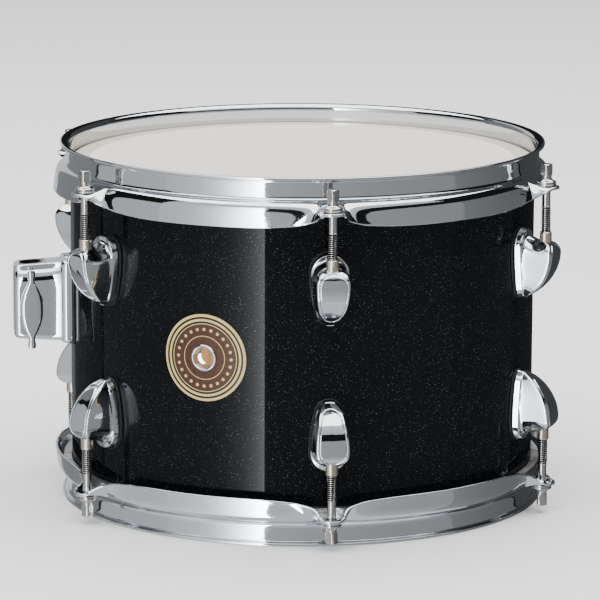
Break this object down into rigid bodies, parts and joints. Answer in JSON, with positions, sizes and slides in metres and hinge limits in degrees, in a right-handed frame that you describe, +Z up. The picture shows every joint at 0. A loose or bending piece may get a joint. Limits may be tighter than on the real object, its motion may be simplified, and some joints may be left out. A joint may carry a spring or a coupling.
{
  "type": "rack tom drum",
  "caption": "Double-headed rack tom drum with triple-flanged hoops, tension rods and lugs, air vent and a side bracket with a wing bolt.",
  "frame": {"origin": "the drum's axis in the plane of the lower hoop's rim, on which it stands", "axes": "+Z up along the drum's axis; tension rod 1 at -Y; holder bracket at -X"},
  "size_m": [0.2942, 0.2976, 0.195],
  "materials": {
    "birch_ply": "satin",
    "sparkle_wrap": "gloss black with fine silver sparkle",
    "film": "coated matt off-white",
    "aluminium": "satin",
    "chrome": "mirror",
    "steel": "polished",
    "nickel": "satin nickel",
    "zinc_steel": "zinc plated",
    "rubber": "matt",
    "badge_enamel": "gloss enamel, cream and brown rings"
  },
  "bodies": {
    "drum": {"shell": "birch_ply", "shell_wrap": "sparkle_wrap", "batter_film": "film", "batter_flesh_hoop": "aluminium", "batter_hoop": "chrome", "batter_lug_1": "chrome", "batter_lug_2": "chrome", "batter_lug_3": "chrome", "batter_lug_4": "chrome", "batter_lug_5": "chrome", "batter_lug_6": "chrome", "resonant_film": "film", "resonant_flesh_hoop": "aluminium", "resonant_hoop": "chrome", "resonant_lug_1": "chrome", "resonant_lug_2": "chrome", "resonant_lug_3": "chrome", "resonant_lug_4": "chrome", "resonant_lug_5": "chrome", "resonant_lug_6": "chrome", "lug_nuts": "nickel", "lug_gaskets": "rubber", "lug_screws": "zinc_steel", "lug_screw_washers": "zinc_steel", "badge": "badge_enamel", "vent_grommet": "chrome", "holder_bracket": "chrome", "bracket_gasket": "rubber", "bracket_backing_plate": "zinc_steel", "bracket_screws": "zinc_steel"},
    "batter_washer_1": {"batter_washer_1": "steel"},
    "batter_rod_1": {"batter_rod_1": "steel"},
    "batter_washer_2": {"batter_washer_2": "steel"},
    "batter_rod_2": {"batter_rod_2": "steel"},
    "batter_washer_3": {"batter_washer_3": "steel"},
    "batter_rod_3": {"batter_rod_3": "steel"},
    "batter_washer_4": {"batter_washer_4": "steel"},
    "batter_rod_4": {"batter_rod_4": "steel"},
    "batter_washer_5": {"batter_washer_5": "steel"},
    "batter_rod_5": {"batter_rod_5": "steel"},
    "batter_washer_6": {"batter_washer_6": "steel"},
    "batter_rod_6": {"batter_rod_6": "steel"},
    "resonant_washer_1": {"resonant_washer_1": "steel"},
    "resonant_rod_1": {"resonant_rod_1": "steel"},
    "resonant_washer_2": {"resonant_washer_2": "steel"},
    "resonant_rod_2": {"resonant_rod_2": "steel"},
    "resonant_washer_3": {"resonant_washer_3": "steel"},
    "resonant_rod_3": {"resonant_rod_3": "steel"},
    "resonant_washer_4": {"resonant_washer_4": "steel"},
    "resonant_rod_4": {"resonant_rod_4": "steel"},
    "resonant_washer_5": {"resonant_washer_5": "steel"},
    "resonant_rod_5": {"resonant_rod_5": "steel"},
    "resonant_washer_6": {"resonant_washer_6": "steel"},
    "resonant_rod_6": {"resonant_rod_6": "steel"},
    "clamp_shoe": {"clamp_shoe": "zinc_steel"},
    "wing_bolt": {"wing_bolt": "chrome"}
  },
  "joints": [
    {"name": "batter_rod_1_lift", "type": "slide", "parent": "drum", "child": "batter_washer_1", "axis": [0, 0, 1], "range_m": [0, 0.00317]},
    {"name": "batter_rod_1_turn", "type": "hinge", "parent": "batter_washer_1", "child": "batter_rod_1", "pos_m": [0, -0.1417, 0.1802], "axis": [0, 0, 1], "range_deg": [0, 1080]},
    {"name": "batter_rod_2_lift", "type": "slide", "parent": "drum", "child": "batter_washer_2", "axis": [0, 0, 1], "range_m": [0, 0.00317]},
    {"name": "batter_rod_2_turn", "type": "hinge", "parent": "batter_washer_2", "child": "batter_rod_2", "pos_m": [0.12272, -0.07085, 0.1802], "axis": [0, 0, 1], "range_deg": [0, 1080]},
    {"name": "batter_rod_3_lift", "type": "slide", "parent": "drum", "child": "batter_washer_3", "axis": [0, 0, 1], "range_m": [0, 0.00317]},
    {"name": "batter_rod_3_turn", "type": "hinge", "parent": "batter_washer_3", "child": "batter_rod_3", "pos_m": [0.12272, 0.07085, 0.1802], "axis": [0, 0, 1], "range_deg": [0, 1080]},
    {"name": "batter_rod_4_lift", "type": "slide", "parent": "drum", "child": "batter_washer_4", "axis": [0, 0, 1], "range_m": [0, 0.00317]},
    {"name": "batter_rod_4_turn", "type": "hinge", "parent": "batter_washer_4", "child": "batter_rod_4", "pos_m": [0, 0.1417, 0.1802], "axis": [0, 0, 1], "range_deg": [0, 1080]},
    {"name": "batter_rod_5_lift", "type": "slide", "parent": "drum", "child": "batter_washer_5", "axis": [0, 0, 1], "range_m": [0, 0.00317]},
    {"name": "batter_rod_5_turn", "type": "hinge", "parent": "batter_washer_5", "child": "batter_rod_5", "pos_m": [-0.12272, 0.07085, 0.1802], "axis": [0, 0, 1], "range_deg": [0, 1080]},
    {"name": "batter_rod_6_lift", "type": "slide", "parent": "drum", "child": "batter_washer_6", "axis": [0, 0, 1], "range_m": [0, 0.00317]},
    {"name": "batter_rod_6_turn", "type": "hinge", "parent": "batter_washer_6", "child": "batter_rod_6", "pos_m": [-0.12272, -0.07085, 0.1802], "axis": [0, 0, 1], "range_deg": [0, 1080]},
    {"name": "resonant_rod_1_lift", "type": "slide", "parent": "drum", "child": "resonant_washer_1", "axis": [0, 0, -1], "range_m": [0, 0.00317]},
    {"name": "resonant_rod_1_turn", "type": "hinge", "parent": "resonant_washer_1", "child": "resonant_rod_1", "pos_m": [0, -0.1417, 0.0148], "axis": [0, 0, -1], "range_deg": [0, 1080]},
    {"name": "resonant_rod_2_lift", "type": "slide", "parent": "drum", "child": "resonant_washer_2", "axis": [0, 0, -1], "range_m": [0, 0.00317]},
    {"name": "resonant_rod_2_turn", "type": "hinge", "parent": "resonant_washer_2", "child": "resonant_rod_2", "pos_m": [0.12272, -0.07085, 0.0148], "axis": [0, 0, -1], "range_deg": [0, 1080]},
    {"name": "resonant_rod_3_lift", "type": "slide", "parent": "drum", "child": "resonant_washer_3", "axis": [0, 0, -1], "range_m": [0, 0.00317]},
    {"name": "resonant_rod_3_turn", "type": "hinge", "parent": "resonant_washer_3", "child": "resonant_rod_3", "pos_m": [0.12272, 0.07085, 0.0148], "axis": [0, 0, -1], "range_deg": [0, 1080]},
    {"name": "resonant_rod_4_lift", "type": "slide", "parent": "drum", "child": "resonant_washer_4", "axis": [0, 0, -1], "range_m": [0, 0.00317]},
    {"name": "resonant_rod_4_turn", "type": "hinge", "parent": "resonant_washer_4", "child": "resonant_rod_4", "pos_m": [0, 0.1417, 0.0148], "axis": [0, 0, -1], "range_deg": [0, 1080]},
    {"name": "resonant_rod_5_lift", "type": "slide", "parent": "drum", "child": "resonant_washer_5", "axis": [0, 0, -1], "range_m": [0, 0.00317]},
    {"name": "resonant_rod_5_turn", "type": "hinge", "parent": "resonant_washer_5", "child": "resonant_rod_5", "pos_m": [-0.12272, 0.07085, 0.0148], "axis": [0, 0, -1], "range_deg": [0, 1080]},
    {"name": "resonant_rod_6_lift", "type": "slide", "parent": "drum", "child": "resonant_washer_6", "axis": [0, 0, -1], "range_m": [0, 0.00317]},
    {"name": "resonant_rod_6_turn", "type": "hinge", "parent": "resonant_washer_6", "child": "resonant_rod_6", "pos_m": [-0.12272, -0.07085, 0.0148], "axis": [0, 0, -1], "range_deg": [0, 1080]},
    {"name": "clamp_shoe_slide", "type": "slide", "parent": "drum", "child": "clamp_shoe", "axis": [0, -1, 0], "range_m": [-0.001, 0.00125]},
    {"name": "wing_bolt_turn", "type": "hinge", "parent": "clamp_shoe", "child": "wing_bolt", "pos_m": [-0.149, -0.017, 0.1061], "axis": [0, -1, 0], "range_deg": [-288, 360]}
  ],
  "couplings": [
    {"joint": "batter_rod_1_turn", "follows": "batter_rod_1_lift", "rad_per_m": 5936.8},
    {"joint": "batter_rod_2_turn", "follows": "batter_rod_2_lift", "rad_per_m": 5936.8},
    {"joint": "batter_rod_3_turn", "follows": "batter_rod_3_lift", "rad_per_m": 5936.8},
    {"joint": "batter_rod_4_turn", "follows": "batter_rod_4_lift", "rad_per_m": 5936.8},
    {"joint": "batter_rod_5_turn", "follows": "batter_rod_5_lift", "rad_per_m": 5936.8},
    {"joint": "batter_rod_6_turn", "follows": "batter_rod_6_lift", "rad_per_m": 5936.8},
    {"joint": "resonant_rod_1_turn", "follows": "resonant_rod_1_lift", "rad_per_m": 5936.8},
    {"joint": "resonant_rod_2_turn", "follows": "resonant_rod_2_lift", "rad_per_m": 5936.8},
    {"joint": "resonant_rod_3_turn", "follows": "resonant_rod_3_lift", "rad_per_m": 5936.8},
    {"joint": "resonant_rod_4_turn", "follows": "resonant_rod_4_lift", "rad_per_m": 5936.8},
    {"joint": "resonant_rod_5_turn", "follows": "resonant_rod_5_lift", "rad_per_m": 5936.8},
    {"joint": "resonant_rod_6_turn", "follows": "resonant_rod_6_lift", "rad_per_m": 5936.8},
    {"joint": "wing_bolt_turn", "follows": "clamp_shoe_slide", "rad_per_m": 5026.5}
  ]
}
